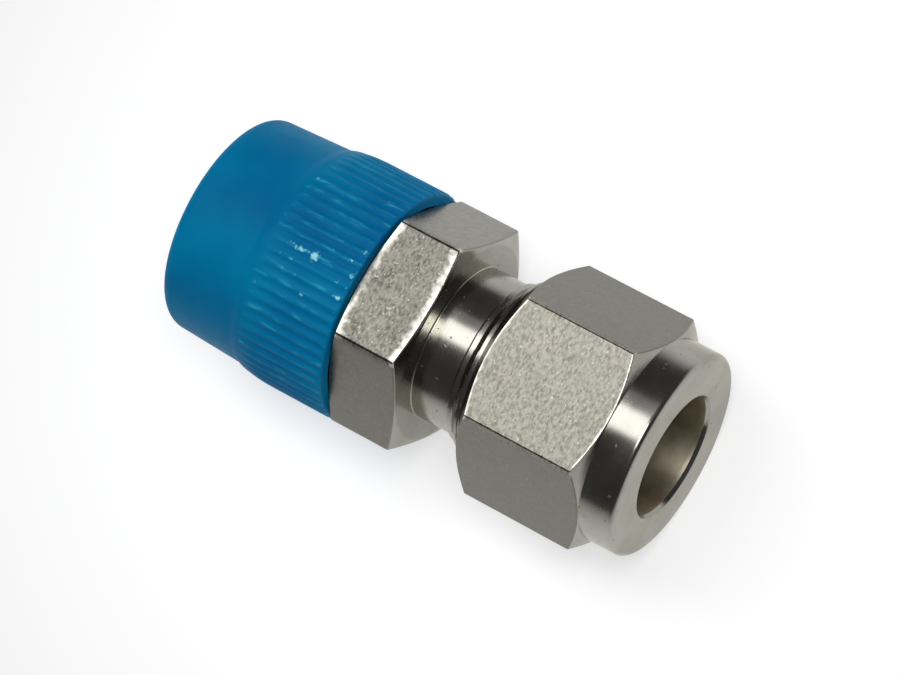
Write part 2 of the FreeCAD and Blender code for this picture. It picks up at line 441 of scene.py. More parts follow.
class Nodes:
    """A small writer of shader nodes for one material."""

    def __init__(self, name: str) -> None:
        """Makes an empty material with a Principled shader and its output."""
        self.material = bpy.data.materials.new(name)
        self.material.use_nodes = True
        self.tree = self.material.node_tree
        self.tree.nodes.clear()
        self.output = self.tree.nodes.new("ShaderNodeOutputMaterial")
        self.shader = self.tree.nodes.new("ShaderNodeBsdfPrincipled")
        self.tree.links.new(self.shader.outputs["BSDF"], self.output.inputs["Surface"])

    def add(self, kind: str, **settings: object) -> bpy.types.Node:
        """Adds a node.

        Args:
            kind: its type.
            **settings: the properties to set on it.

        Returns:
            The node.
        """
        node = self.tree.nodes.new(kind)
        for name, value in settings.items():
            setattr(node, name, value)
        return node

    def feed(self, node: bpy.types.Node, socket: str | int, source: object) -> None:
        """Links a socket to a source, or sets it to a value.

        Args:
            node: the node that has the socket.
            socket: name or number of the input.
            source: a node, whose first output is taken, an output, or a value.
        """
        if isinstance(source, bpy.types.Node):
            self.tree.links.new(source.outputs[0], node.inputs[socket])
        elif isinstance(source, bpy.types.NodeSocket):
            self.tree.links.new(source, node.inputs[socket])
        else:
            node.inputs[socket].default_value = source

    def math(self, operation: str, first: object, second: object = 0.0) -> bpy.types.Node:
        """Adds a Math node of two terms.

        Args:
            operation: what it does with them.
            first: the first term.
            second: the second term.

        Returns:
            The node.
        """
        node = self.add("ShaderNodeMath", operation=operation)
        self.feed(node, 0, first)
        self.feed(node, 1, second)
        return node

    def mean(self, first: object, second: object) -> bpy.types.Node:
        """The mean of two values."""
        halves = [self.math("MULTIPLY", value, 0.5) for value in (first, second)]
        return self.math("ADD", *halves)

    def spread(
        self, value: object, low: float, high: float, to: Point = (0.0, 1.0)
    ) -> bpy.types.Node:
        """Maps a value from one range to another and clamps it.

        Args:
            value: the value.
            low: lower end of its range.
            high: upper end of its range.
            to: the ends of the new range.

        Returns:
            The node.
        """
        node = self.add("ShaderNodeMapRange", clamp=True)
        for socket, source in zip(range(5), (value, low, high, to[0], to[1])):
            self.feed(node, socket, source)
        return node

    def noise(self, vector: object, scale: float, detail: float = 2.0) -> bpy.types.Node:
        """Adds a Noise texture.

        Args:
            vector: the place where it is read.
            scale: how many of its waves there are in a metre.
            detail: how many finer waves are added.

        Returns:
            The node, whose first output is the value.
        """
        node = self.add("ShaderNodeTexNoise")
        self.feed(node, "Vector", vector)
        self.feed(node, "Scale", scale)
        self.feed(node, "Detail", detail)
        return node

    def mix(self, share: object, first: object, second: object) -> bpy.types.NodeSocket:
        """Mixes two colours.

        Args:
            share: how much of the second colour there is.
            first: the first colour.
            second: the second colour.

        Returns:
            The socket of the mixed colour.
        """
        node = self.add("ShaderNodeMix", data_type="RGBA")
        self.feed(node, 0, share)
        for socket, source in ((6, first), (7, second)):
            self.feed(node, socket, (*source, 1.0) if isinstance(source, tuple) else source)
        return node.outputs[2]

    def scaled(self, vector: object, scale: tuple[float, float, float]) -> bpy.types.Node:
        """Scales a vector.

        Args:
            vector: the vector.
            scale: the factor along each axis.

        Returns:
            The node.
        """
        node = self.add("ShaderNodeMapping")
        self.feed(node, "Vector", vector)
        self.feed(node, "Scale", scale)
        return node

    def bump(self, height: object, depth: float, strength: float = 1.0) -> bpy.types.Node:
        """Adds a Bump node.

        Args:
            height: the height, from 0 to 1.
            depth: what its full height stands for, in metres.
            strength: how much of it shows.

        Returns:
            The node.
        """
        node = self.add("ShaderNodeBump")
        self.feed(node, "Height", height)
        self.feed(node, "Distance", depth)
        self.feed(node, "Strength", strength)
        return node

    def place(self) -> bpy.types.NodeSocket:
        """Object coordinates, in metres."""
        return self.add("ShaderNodeTexCoord").outputs["Object"]

    def turned_place(self) -> bpy.types.Node:
        """Works out station and radius about X, which are the same all the way round.

        Returns:
            The node that joins them into a vector.
        """
        split = self.add("ShaderNodeSeparateXYZ")
        self.feed(split, 0, self.place())
        y, z = split.outputs[1], split.outputs[2]
        squares = self.math("ADD", self.math("MULTIPLY", y, y), self.math("MULTIPLY", z, z))
        radius = self.math("SQRT", squares)
        joined = self.add("ShaderNodeCombineXYZ")
        self.feed(joined, 0, split.outputs[0])
        self.feed(joined, 1, radius)
        return joined


@dataclass(frozen=True)
class TurnedSteel:
    """Steel as it comes off the lathe: close rings of tool marks and a soft polish."""

    name: str = "turned_steel"
    bright: Colour = (0.36, 0.348, 0.315)
    dull: Colour = (0.29, 0.279, 0.248)
    edge_tint: Colour = (0.85, 0.84, 0.80)
    roughness: Point = (0.15, 0.26)
    ring_scale: float = 7000.0
    ring_depth: float = 4.0e-6
    smear_scale: float = 260.0
    fleck_scale: float = 1900.0
    fleck_span: Point = (0.73, 0.78)
    fleck: float = 0.4

    def material(self) -> bpy.types.Material:
        """Builds the material.

        Returns:
            The finished material.
        """
        n = Nodes(self.name)
        place = n.place()
        rings = n.noise(n.turned_place(), self.ring_scale, 3.0)
        smears = n.noise(place, self.smear_scale, 4.0)
        n.feed(n.shader, "Base Color", n.mix(n.spread(smears, *NOISE_SPAN), self.dull, self.bright))
        wear = n.mean(rings, smears)
        specks = n.noise(place, self.fleck_scale, 1.0)
        flecks = n.spread(specks, *self.fleck_span, (0.0, self.fleck))
        rough = n.spread(wear, *NOISE_SPAN, self.roughness)
        n.feed(n.shader, "Roughness", n.math("ADD", rough, flecks))
        n.feed(n.shader, "Metallic", 1.0)
        n.feed(n.shader, "Specular Tint", (*self.edge_tint, 1.0))
        n.feed(n.shader, "Normal", n.bump(rings, self.ring_depth, 0.6))
        return n.material


@dataclass(frozen=True)
class GrainedSteel:
    """The flats of drawn hexagon bar: a fine pitted grain, plainest on the sides.

    The upper flat faces the lights: its grain contrast is painted stronger there, and sparse
    bright specks and a pale rim along its end edges are painted highlight.

    Attributes:
        name: name of the material.
        section: the section whose flats it covers.
        rim: how far the pale painted highlight along the end edges reaches in from the chamfers.
    """

    name: str
    section: Hexagon
    rim: float
    bright: Colour = (0.258, 0.25, 0.214)
    plain: Colour = (0.182, 0.173, 0.149)
    dull: Colour = (0.102, 0.097, 0.081)
    # Pale colour of the painted highlight: the rim along the upper flat's end edges and the bright
    # specks.
    painted_highlight: Colour = (0.55, 0.54, 0.485)
    roughness: Point = (0.26, 0.36)
    grain_scale: float = 4200.0
    grain_stretch: tuple[float, float, float] = (1.0, 0.55, 0.55)
    grain_span: Point = (0.36, 0.64)
    grain_depth: float = 4.0e-5
    patch_scale: float = 350.0
    # Noise range where the sparse bright specks of painted glitter highlight show.
    painted_glint_span: Point = (0.66, 0.76)
    ragged_scale: float = 1300.0

    def material(self) -> bpy.types.Material:
        """Builds the material.

        Returns:
            The finished material.
        """
        n = Nodes(self.name)
        place = n.place()
        across = n.scaled(place, self.grain_stretch)
        grain = n.noise(across, self.grain_scale, 2.0)
        specks = n.noise(across, self.grain_scale * 0.5, 2.0)
        patches = n.noise(place, self.patch_scale, 4.0)
        mottle = n.mean(grain, specks)
        # Sparse bright specks painted into the colour on the upper flat: painted glitter highlight.
        sparks = n.noise(place, self.grain_scale * 0.9, 1.0)
        painted_glints = n.spread(sparks, *self.painted_glint_span, (0.0, 0.5))
        # How far a spot lies on the upper flat, which faces the lights: stronger grain contrast,
        # bright specks and the pale rim are painted there as painted highlight; the side flats keep
        # a plainer tone.
        level = n.add("ShaderNodeVectorMath", operation="DOT_PRODUCT")
        n.feed(level, 0, place)
        n.feed(level, 1, self.section.facing())
        flat = self.section.across / 2 * MM
        upper = n.spread(level.outputs["Value"], flat - MM, flat - 0.3 * MM, (0.2, 1.0))
        grained = n.mix(n.spread(mottle, *self.grain_span), self.dull, self.bright)
        toned = n.mix(n.spread(patches, 0.3, 0.7, (0.75, 1.0)), self.plain, grained)
        surface = n.mix(upper, self.plain, n.mix(painted_glints, toned, self.painted_highlight))
        # The pale rim along the upper flat's end edges, only on the upper flat: painted highlight.
        painted_highlight = n.math("MULTIPLY", self.painted_rim_share(n), n.spread(upper, 0.5, 1.0))
        n.feed(n.shader, "Base Color", n.mix(painted_highlight, surface, self.painted_highlight))
        n.feed(n.shader, "Roughness", n.spread(specks, *NOISE_SPAN, self.roughness))
        n.feed(n.shader, "Metallic", 1.0)
        n.feed(n.shader, "Normal", n.bump(mottle, self.grain_depth, 0.5))
        return n.material

    def painted_rim_share(self, n: Nodes) -> bpy.types.Node:
        """Works out how strongly the pale rim of painted highlight shows on each spot.

        Args:
            n: the nodes of the material.

        Returns:
            The node of a share that falls with the distance from the nearer end's chamfer.
        """
        section = self.section
        split = n.add("ShaderNodeSeparateXYZ")
        n.feed(split, 0, n.turned_place())
        station, radius = split.outputs[0], split.outputs[1]
        reaches = []
        for end, face_radius, sign in (
            (section.front, section.front_radius, 1.0),
            (section.rear, section.rear_radius, -1.0),
        ):
            above = n.math("SUBTRACT", radius, face_radius * MM)
            inwards = n.math("MULTIPLY", n.math("SUBTRACT", end * MM, station), sign)
            drop = n.math("MULTIPLY", above, section.slope(face_radius))
            reaches.append(n.math("SUBTRACT", inwards, drop))
        nearer = n.math("MINIMUM", *reaches)
        ragged = n.spread(n.noise(n.place(), self.ragged_scale, 6.0), 0.3, 0.7, (-0.45, 0.45))
        edge = n.math("ADD", nearer, n.math("MULTIPLY", ragged, self.rim * MM))
        return n.spread(edge, self.rim * MM * 0.15, self.rim * MM * 1.1, (1.0, 0.0))


@dataclass(frozen=True)
class BoredSteel:
    """Bores and seats: a duller, slightly warm finish."""

    name: str = "bored_steel"
    bright: Colour = (0.66, 0.60, 0.475)
    dull: Colour = (0.48, 0.42, 0.31)
    roughness: float = 0.42
    smear_scale: float = 420.0
    ring_scale: float = 5000.0
    ring_depth: float = 6.0e-6

    def material(self) -> bpy.types.Material:
        """Builds the material.

        Returns:
            The finished material.
        """
        n = Nodes(self.name)
        smears = n.noise(n.place(), self.smear_scale, 4.0)
        n.feed(n.shader, "Base Color", n.mix(n.spread(smears, *NOISE_SPAN), self.dull, self.bright))
        n.feed(n.shader, "Roughness", self.roughness)
        n.feed(n.shader, "Metallic", 1.0)
        rings = n.noise(n.turned_place(), self.ring_scale, 3.0)
        n.feed(n.shader, "Normal", n.bump(rings, self.ring_depth, 0.6))
        return n.material


@dataclass(frozen=True)
class MouldedPlastic:
    """Soft blue polyethylene with a dull gloss, and pale scuffs where the ribs rub."""

    name: str = "moulded_polyethylene"
    colour: Colour = (0.0, 0.146, 0.352)
    # Lighter blue, for the random clouds and for the painted highlight spot on top of the barrel.
    pale: Colour = (0.0, 0.228, 0.442)
    scuff: Colour = (0.36, 0.84, 0.92)
    # Lighter blue along the rib crests: painted highlight.
    crest_sheen: Colour = (0.03, 0.42, 0.60)
    roughness: Point = (0.45, 0.58)
    cloud_scale: float = 80.0
    fleck_scale: float = 2600.0
    streak_scale: float = 2200.0
    streak_stretch: tuple[float, float, float] = (0.2, 1.0, 1.0)
    grain_scale: float = 900.0
    grain_depth: float = 1.2e-5

    def material(self) -> bpy.types.Material:
        """Builds the material.

        Returns:
            The finished material.
        """
        n = Nodes(self.name)
        place = n.place()
        clouds = n.spread(n.noise(place, self.cloud_scale, 3.0), 0.38, 0.66)
        # A soft pale spot on top of the barrel: painted highlight.
        painted_sheen_spot = n.add("ShaderNodeAttribute", attribute_name="painted_sheen_spot")
        body = n.mix(n.math("ADD", clouds, painted_sheen_spot.outputs["Fac"]), self.colour, self.pale)
        worn = n.add("ShaderNodeAttribute", attribute_name="scuff")
        flecks = n.spread(n.noise(place, self.fleck_scale, 3.0), 0.3, 0.7, (-0.5, 0.5))
        marks = n.spread(n.math("ADD", worn.outputs["Fac"], flecks), 0.52, 1.1)
        # Lighter streaks along the rib crests: painted highlight on the crests.
        crest = n.add("ShaderNodeAttribute", attribute_name="crest")
        drawn_out = n.noise(n.scaled(place, self.streak_stretch), self.streak_scale, 2.0)
        streaks = n.spread(drawn_out, 0.54, 0.74, (0.1, 1.0))
        streaked = n.mix(n.math("MULTIPLY", streaks, crest.outputs["Fac"]), body, self.crest_sheen)
        n.feed(n.shader, "Base Color", n.mix(marks, streaked, self.scuff))
        fine = n.noise(place, self.grain_scale, 4.0)
        n.feed(n.shader, "Roughness", n.spread(fine, 0.3, 0.7, self.roughness))
        n.feed(n.shader, "Specular IOR Level", 0.05)
        n.feed(n.shader, "Subsurface Weight", 0.4)
        n.feed(n.shader, "Subsurface Radius", (0.3, 0.7, 1.0))
        n.feed(n.shader, "Subsurface Scale", 0.0005)
        n.feed(n.shader, "Normal", n.bump(fine, self.grain_depth, 0.3))
        return n.material


@dataclass
class SteelPiece:
    """What the steel pieces share: the steel finishes and how they are given."""

    lathe: Lathe
    turned: bpy.types.Material
    bored: bpy.types.Material

    def dress(
        self,
        piece: bpy.types.Object,
        section: Hexagon | None = None,
        grained: bpy.types.Material | None = None,
    ) -> None:
        """Gives a piece the turned finish, its bores the bored one and its flats the grained one.

        Args:
            piece: the finished mesh.
            section: the hexagonal section, if it has one.
            grained: the finish of the section's flats and rounded corners.
        """
        piece.data.materials.clear()
        for finish in (self.turned, self.bored, grained):
            if finish:
                piece.data.materials.append(finish)
        for face in piece.data.polygons:
            outward = face.center.y * face.normal.y + face.center.z * face.normal.z
            radius = math.hypot(face.center.y, face.center.z)
            face.material_index = int(outward < -0.2 * radius and abs(face.normal.x) < 0.36)
            if section and outward > 0.5 * radius:
                along = section.rear < face.center.x / MM < section.front
                face.material_index = 2 if along and radius > section.front_radius * MM else 0


@dataclass
class ConnectorBody(SteelPiece):
    """The body: pipe thread, hexagon, neck, tube-side thread, flow bore and tube socket."""

    pipe_end: float = -29.15
    hex_rear: float = -10.25
    hex_front: float = -2.4
    socket_face: float = 12.8
    tube_bore: float = 6.42
    flow_bore: float = 5.2
    pipe_mouth: float = 8.958
    pipe_chamfer: float = 0.4
    pipe_runout: float = 3.6
    neck: float = 8.3
    neck_end: float = 1.85
    neck_fillet: float = 0.12
    relief_slope: float = 1.5
    lead_in: float = 2.7
    lead_in_slope: float = 1.07
    first_groove: float = 3.7
    thread_end: float = 8.31
    seat_mouth: float = 7.75
    seat_start: float = 9.146
    edge: float = 0.2
    # How far the pale rim of painted highlight reaches in on the body's upper flat.
    rim: float = 0.75
    grain_bright: Colour = (0.188, 0.18, 0.154)
    grain_dull: Colour = (0.05, 0.048, 0.04)
    # Tone of the body's side flats; the upper flat, which faces the lights, takes the painted grain
    # contrast and highlight instead.
    side_tone: Colour = (0.235, 0.223, 0.195)
    nut_thread: Thread = field(
        default_factory=lambda: Thread(pitch=1.27, crest=9.5, root=8.75, crest_flat=0.17, datum=3.0)
    )
    pipe_thread: Thread = field(
        default_factory=lambda: Thread(
            pitch=1.814, crest=10.358, root=8.99, crest_flat=0.09, datum=-29.15, taper=1 / 32
        )
    )

    def nut_thread_limits(self, station: np.ndarray) -> tuple[np.ndarray, np.ndarray]:
        """Bounds the tube-side thread by its relief, lead-in, run-out and end chamfer.

        Args:
            station: where along X.

        Returns:
            The least and the greatest radius there.
        """
        thread = self.nut_thread
        relief = self.neck + (station - self.neck_end) * self.relief_slope
        lead_in = thread.root + np.maximum(station - self.lead_in, 0.0) * self.lead_in_slope
        chamfer = self.thread_end + (self.socket_face - station)
        high = np.minimum(np.minimum(relief, lead_in), chamfer)
        runout = thread.crest - np.maximum(station - self.first_groove, 0.0) * self.relief_slope
        return np.minimum(runout, high), high

    def pipe_thread_limits(self, station: np.ndarray) -> tuple[np.ndarray, np.ndarray]:
        """Bounds the pipe thread by its taper, end chamfer and run-out at the hexagon.

        Args:
            station: where along X.

        Returns:
            The least and the greatest radius there.
        """
        thread = self.pipe_thread
        crest = thread.crest + (station - self.pipe_end) * thread.taper
        depth = thread.crest - thread.root
        fade = np.clip((self.hex_rear - station) / self.pipe_runout, 0.0, 1.0)
        chamfer = self.pipe_mouth + (station - self.pipe_end)
        return np.minimum(crest - depth * fade, chamfer), np.minimum(crest, chamfer)

    def build(self) -> bpy.types.Object:
        """Turns, mills and threads the body.

        Returns:
            The finished body.
        """
        pipe = self.pipe_thread
        pipe_base = pipe.crest + (self.hex_rear - self.pipe_end) * pipe.taper
        section = Hexagon(
            rear=self.hex_rear,
            front=self.hex_front,
            rear_radius=11.05,
            front_radius=10.75,
            corner_drop=0.545,
            roll=-5.66,
        )
        inside = [
            (self.socket_face, self.thread_end),
            (self.socket_face, self.seat_mouth),
            (self.seat_start, self.tube_bore),
            (0.0, self.tube_bore),
            (0.0, self.flow_bore),
            (self.pipe_end + self.pipe_chamfer, self.flow_bore),
            (self.pipe_end, self.flow_bore + self.pipe_chamfer),
            (self.pipe_end, self.pipe_mouth),
        ]
        fillet = self.neck_fillet
        shoulder = [(self.hex_rear, pipe_base), *section.outline()]
        shoulder += arc((self.hex_front + fillet, self.neck + fillet), fillet, 180.0, 270.0, 8)
        shoulder += [(self.neck_end - 0.4, self.neck), (self.neck_end, self.neck)]
        blank = self.lathe.turn("connector_body_turned", [inside, shoulder])
        self.lathe.mill_flats(blank, section)
        self.lathe.round_flats(blank, section, self.edge)
        tube_band = self.nut_thread.wind(
            "tube_side_thread", self.lathe, self.neck_end, self.socket_face, self.nut_thread_limits
        )
        pipe_band = pipe.wind(
            "pipe_thread", self.lathe, self.pipe_end, self.hex_rear, self.pipe_thread_limits
        )
        body = self.lathe.join([blank, tube_band, pipe_band])
        self.lathe.finish(body)
        grained = GrainedSteel(
            "hex_steel_body",
            section,
            self.rim,
            bright=self.grain_bright,
            plain=self.side_tone,
            dull=self.grain_dull,
        )
        self.dress(body, section, grained.material())
        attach(body, "connector")
        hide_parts("connector_body")
        return body


@dataclass
class CompressionNut(SteelPiece):
    """The nut: hexagon, round collar, thread and the chamber that holds the ferrules."""

    rear: float = 4.8
    collar_start: float = 18.95
    mouth: float = 22.9
    collar: float = 11.0
    collar_round: float = 0.65
    countersink: float = 9.81
    thread_end: float = 13.4
    thread_relief: float = 9.65
    chamber: float = 7.9
    chamber_start: float = 14.26
    drive_start: float = 16.01
    drive_corner: float = 16.84
    drive_end: float = 17.38
    tube_bore: float = 6.42
    lead_in: tuple[Point, ...] = ((22.9, 6.72), (22.5, 6.47), (22.0, 6.42))
    edge: float = 0.11
    # How far the pale rim of painted highlight reaches in on the nut's upper flat.
    rim: float = 0.2
    thread: Thread = field(
        default_factory=lambda: Thread(pitch=1.27, crest=8.85, root=9.6, crest_flat=0.24, datum=3.0)
    )

    def limits(self, station: np.ndarray) -> tuple[np.ndarray, np.ndarray]:
        """Bounds the nut's thread by its countersink and its relief.

        Args:
            station: where along X.

        Returns:
            The least and the greatest radius there.
        """
        countersink = self.countersink - (station - self.rear)
        relief = self.thread_relief - (self.thread_end - station) * 1.5
        return np.maximum(countersink, relief), np.full_like(station, self.countersink)

    def build(self) -> bpy.types.Object:
        """Turns, mills and threads the nut.

        Returns:
            The finished nut.
        """
        section = Hexagon(
            rear=self.rear,
            front=self.collar_start,
            rear_radius=11.05,
            front_radius=self.collar,
            corner_drop=1.028,
        )
        rounding = self.collar_round
        outline = [(self.rear, self.countersink), *section.outline()]
        outline += arc(
            (self.mouth - rounding, self.collar - rounding), rounding, 90.0, 0.0, 14
        )
        outline += [
            *self.lead_in,
            (self.drive_end, self.tube_bore),
            (self.drive_corner, self.chamber),
            (self.drive_start, self.chamber),
            (self.chamber_start, self.thread_relief),
            (self.thread_end, self.thread_relief),
        ]
        blank = self.lathe.turn("nut_turned", [outline])
        self.lathe.mill_flats(blank, section)
        self.lathe.round_flats(blank, section, self.edge)
        band = self.thread.wind(
            "nut_thread", self.lathe, self.rear, self.thread_end, self.limits
        )
        nut = self.lathe.join([blank, band])
        self.lathe.finish(nut)
        self.dress(nut, section, GrainedSteel("hex_steel_nut", section, self.rim).material())
        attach(nut, "nut_body")
        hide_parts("nut")
        return nut


@dataclass
class FerruleSet(SteelPiece):
    """The front ferrule and the back ferrule, stacked between the body's seat and the nut."""

    bore: float = 6.42

    def make(self, name: str, node: str, outline: list[Point]) -> bpy.types.Object:
        """Turns one ferrule.

        Args:
            name: name of the ring.
            node: the frame's node that it stands for.
            outline: its half section, without the first point again at the end.

        Returns:
            The finished ring.
        """
        ring = self.lathe.turn(name, [outline + outline[:1]])
        self.lathe.join([ring])
        self.lathe.finish(ring)
        self.dress(ring)
        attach(ring, "ferrule_set")
        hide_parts(node)
        return ring

    def build(self) -> list[bpy.types.Object]:
        """Turns both ferrules.

        Returns:
            The front ferrule and the back ferrule.
        """
        front = [
            (9.97, self.bore),
            (9.97, 6.67),
            (12.662, 7.65),
            (14.67, 7.65),
            (14.97, 7.35),
            (14.97, 7.25),
            (14.14, self.bore),
        ]
        back = [
            (14.39, self.bore),
            (14.39, 6.62),
            (14.87, 7.1),
            (15.27, 7.1),
            (15.27, 7.6),
            (16.9, 7.6),
            (17.329, self.bore),
        ]
        return [
            self.make("front_ferrule_turned", "front_ferrule", front),
            self.make("back_ferrule_turned", "back_ferrule", back),
        ]


@dataclass(frozen=True)
class PaleSpot:
    """A pale spot on the thread protector, used for the scuffs and for the painted highlight on the
    barrel.

    Attributes:
        station: middle of the mark along X.
        angle: its place about X in degrees, from +Y towards +Z.
        reach: how far it fades out along X.
        spread: how far it fades out round the skirt, in degrees.
        strength: how pale its middle is.
    """

    station: float
    angle: float
    reach: float = 0.5
    spread: float = 1.2
    strength: float = 0.8

    def fade(self, station: np.ndarray, angle: np.ndarray) -> np.ndarray:
        """Works out how strong the mark is over a surface.

        Args:
            station: where along X.
            angle: where about X, in degrees.

        Returns:
            Its strength at each spot.
        """
        along = (station - self.station) / self.reach
        around = (angle - self.angle) / self.spread
        return self.strength * np.exp(-(along**2) - around**2)


SCUFFS = (
    PaleSpot(-15.1, 88.4, 0.55, 1.9, 1.7),
    PaleSpot(-16.6, 88.4, 1.6, 1.2, 0.85),
    PaleSpot(-18.3, 88.6, 0.3, 0.8, 0.6),
    PaleSpot(-13.3, 88.6, 0.25, 0.8, 0.5),
    PaleSpot(-17.6, 94.4, 1.4, 0.9, 0.4),
    PaleSpot(-16.0, 82.3, 0.3, 0.9, 0.7),
    PaleSpot(-13.5, 76.1, 0.3, 0.8, 0.6),
    PaleSpot(-13.7, 82.3, 0.3, 0.8, 0.45),
    PaleSpot(-13.4, 91.6, 0.25, 0.7, 0.5),
    PaleSpot(-14.7, 106.1, 0.3, 1.0, 0.95),
    PaleSpot(-16.0, 100.1, 0.3, 0.8, 0.5),
    PaleSpot(-16.1, 111.1, 0.5, 0.8, 0.5),
    PaleSpot(-19.6, 111.1, 0.5, 1.0, 0.5),
    PaleSpot(-17.8, 100.1, 0.5, 0.8, 0.45),
    PaleSpot(-12.2, 45.5, 0.2, 0.9, 1.3),
    PaleSpot(-11.6, 82.3, 0.6, 0.9, 0.7),
    PaleSpot(-11.9, 94.4, 0.6, 0.9, 0.7),
    PaleSpot(-11.1, 100.1, 0.5, 1.1, 1.1),
    PaleSpot(-10.8, 76.4, 0.2, 1.4, 0.8),
    PaleSpot(-10.7, 88.4, 0.25, 1.8, 0.9),
    PaleSpot(-10.7, 94.4, 0.15, 1.6, 0.8),
    PaleSpot(-10.9, 106.1, 0.2, 1.1, 0.7),
    PaleSpot(-19.8, 46.0, 0.3, 1.2, 0.4),
    PaleSpot(-19.9, 53.5, 0.4, 1.2, 0.5),
    PaleSpot(-19.7, 71.0, 0.25, 0.9, 0.4),
)


@dataclass
class ThreadProtector:
    """The cap over the pipe thread: closed end, flared barrel, step and ribbed skirt."""

    plastic: bpy.types.Material
    end: float = -30.6
    floor: float = -29.25
    step: float = -21.4
    step_end: float = -20.4
    ribs_full: float = -17.5
    mouth: float = -10.29
    end_radius: float = 11.72
    barrel: float = 12.05
    step_radius: float = 12.4
    skirt: float = 12.65
    inside: float = 10.69
    skirt_inside: float = 11.2
    rib_count: int = 63
    rib_phase: float = 2.6
    rib_height: float = 0.19
    steps_per_rib: int = 8
    smooth_angle: float = math.radians(40.0)
    # A soft pale spot on top of the barrel: painted highlight.
    painted_sheen_spot: PaleSpot = PaleSpot(-23.9, 91.7, 1.0, 5.0, 0.9)

    def outline(self) -> list[Point]:
        """Works out the cap's half section.

        Returns:
            Its points, from the middle of the closed end to the middle of the floor inside.
        """
        end_round = 1.5
        lip = 0.5
        points = [(self.end, 0.0), (self.end, self.end_radius * 0.5)]
        points += arc(
            (self.end + end_round, self.end_radius - end_round), end_round, 180.0, 90.0, 14
        )
        for row in range(1, 13):
            share = row / 12
            rise = (self.step_radius - self.barrel) * share * share * (3.0 - 2.0 * share)
            station = self.step - 0.5 + (self.step_end - self.step + 0.5) * share
            points.append((station, self.barrel + rise))
        for row in range(1, 11):
            share = row / 10
            rise = (self.skirt - self.step_radius) * (1.0 - (1.0 - share) ** 2)
            station = self.step_end + (self.ribs_full - self.step_end) * share
            points.append((station, self.step_radius + rise))
        rows = 22
        length = self.mouth - lip - self.ribs_full
        points += [(self.ribs_full + length * row / rows, self.skirt) for row in range(1, rows)]
        points += arc((self.mouth - lip, self.skirt - lip), lip, 90.0, 0.0, 5)
        points += [(self.mouth, self.skirt_inside + 0.05), (self.mouth - 0.05, self.skirt_inside)]
        points += [(self.step + 1.3, self.skirt_inside), (self.step + 0.8, self.inside)]
        points += [(self.floor + 0.7, self.inside), (self.floor, self.inside - 0.7)]
        points += [(self.floor, 0.0)]
        return points

    def form_ribs(self, piece: bpy.types.Object) -> None:
        """Sinks the grooves between the ribs into the skirt and marks the scuffs on the ribs.

        Args:
            piece: the cap as it was turned.
        """
        spots = read_spots(piece.data)
        radius = np.hypot(spots[:, 1], spots[:, 2])
        angle = np.degrees(np.arctan2(spots[:, 2], spots[:, 1]))
        wave = 0.5 + 0.5 * np.cos(np.radians(self.rib_count * (angle - self.rib_phase)))
        root = self.skirt - self.rib_height
        outside = (spots[:, 0] > self.step) & (radius > root)
        formed = np.minimum(radius, root + self.rib_height * wave**1.4)
        scale = np.where(outside, formed / np.maximum(radius, 1e-6), 1.0)
        spots[:, 1:] *= scale[:, None]
        write_spots(piece.data, spots)
        worn = np.zeros(len(radius))
        for scuff in SCUFFS:
            worn = np.maximum(worn, scuff.fade(spots[:, 0], angle))
        ribbed = radius > self.step_radius
        # Marks for the material: the scuffs, the rib crests that take a painted highlight, and the
        # painted highlight spot on the barrel.
        layers = (
            ("scuff", np.where(ribbed, worn, 0.0)),
            ("crest", np.where(ribbed, wave**3, 0.0)),
            ("painted_sheen_spot", self.painted_sheen_spot.fade(spots[:, 0], angle)),
        )
        for name, values in layers:
            layer = piece.data.attributes.new(name, "FLOAT", "POINT")
            layer.data.foreach_set("value", values.astype(np.float32))

    def build(self) -> bpy.types.Object:
        """Turns the cap's form and sinks its grooves.

        Returns:
            The finished cap.
        """
        mould = Lathe(self.rib_count * self.steps_per_rib)
        cap = mould.turn("thread_protector_moulded", [self.outline()])
        self.form_ribs(cap)
        mould.join([cap])
        select_alone(cap)
        bpy.ops.object.shade_smooth_by_angle(angle=self.smooth_angle)
        cap.data.materials.clear()
        cap.data.materials.append(self.plastic)
        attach(cap, "protector")
        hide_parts("thread_protector_cap")
        return cap


@dataclass(frozen=True)
class Softbox:
    """A soft light that faces the fitting.

    Attributes:
        name: name of the light.
        spot: its middle in metres.
        size: its sides along X and across, in metres.
        radiance: how bright its face is.
    """

    name: str
    spot: tuple[float, float, float]
    size: Point
    radiance: float

    def hang(self) -> None:
        """Adds the light to the scene."""
        bpy.ops.object.light_add(type="AREA", location=self.spot)
        light = bpy.context.object
        light.name = self.name
        light.data.shape = "RECTANGLE"
        light.data.size, light.data.size_y = self.size
        light.data.energy = self.radiance * self.size[0] * self.size[1] * math.pi
        upwards = Vector((0.0, 0.0, 1.0))
        light.rotation_mode = "QUATERNION"
        light.rotation_quaternion = upwards.rotation_difference(Vector(self.spot))


SOFTBOXES = (
    Softbox("overhead_softbox", (-0.23, 0.085, 0.60), (0.5, 0.29), 3.4),
    Softbox("front_softbox", (0.19, 0.03, 0.66), (0.22, 0.26), 11.0),
    Softbox("side_softbox", (-0.10, 0.32, 0.55), (0.5, 0.16), 0.4),
)


